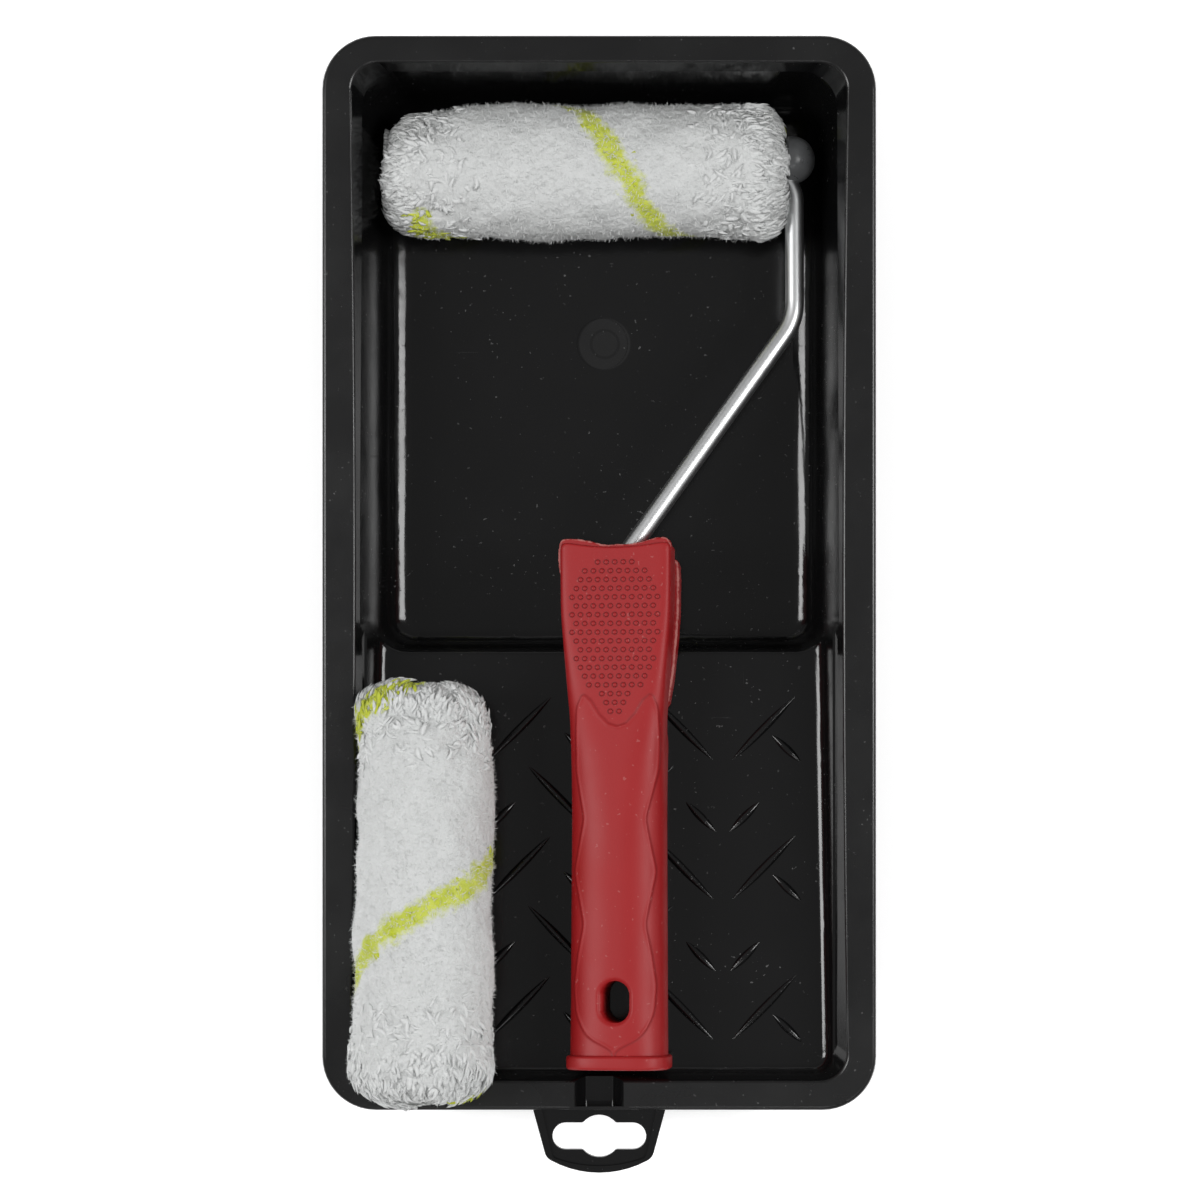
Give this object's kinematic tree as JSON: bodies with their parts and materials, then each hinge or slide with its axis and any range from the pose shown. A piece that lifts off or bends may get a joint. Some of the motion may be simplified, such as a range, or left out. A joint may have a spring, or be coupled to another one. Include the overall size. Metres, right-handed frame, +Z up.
{
  "type": "paint roller tray",
  "caption": "Mini paint roller tray with a deep well, ribbed ramp and hang tab, holding a mini roller with a bent wire frame and a spare plush sleeve.",
  "frame": {"origin": "bottom centre of the box around the whole kit, on the ground the tray stands on", "axes": "+Z up; +Y along the tray towards its deep well; +X across the tray, so that the roller's wire comes round the +X end of its sleeve"},
  "size_m": [0.15, 0.308, 0.0785],
  "materials": {
    "tray_plastic": "gloss black",
    "wire_steel": "bright satin",
    "handle_plastic": "satin red",
    "cap_plastic": "smoky translucent",
    "clip_steel": "spring steel",
    "core_plastic": "natural grey",
    "bearing_plastic": "dark grey",
    "plush": "plush pile, white with a yellow-green yarn stripe"
  },
  "bodies": {
    "tray": {"tray": "tray_plastic"},
    "roller": {"wire_frame": "wire_steel", "handle": "handle_plastic", "elbow_cap": "cap_plastic", "tip_clip": "clip_steel"},
    "fitted_sleeve": {"sleeve_core": "core_plastic", "sleeve_near_bearing": "bearing_plastic", "sleeve_far_bearing": "bearing_plastic", "sleeve_pile": "plush"},
    "spare_sleeve": {"spare_core": "core_plastic", "spare_front_bearing": "bearing_plastic", "spare_rear_bearing": "bearing_plastic", "spare_pile": "plush"}
  },
  "joints": [
    {"name": "roller_lift", "type": "slide", "parent": "tray", "child": "roller", "axis": [0, 0, 1], "range_m": [0, 0.08]},
    {"name": "sleeve_spin", "type": "hinge", "parent": "roller", "child": "fitted_sleeve", "pos_m": [0, 0.1197, 0.02], "axis": [1, 0, 0], "continuous": true},
    {"name": "spare_lift", "type": "slide", "parent": "tray", "child": "spare_sleeve", "axis": [0, 0, 1], "range_m": [0, 0.08]}
  ]
}
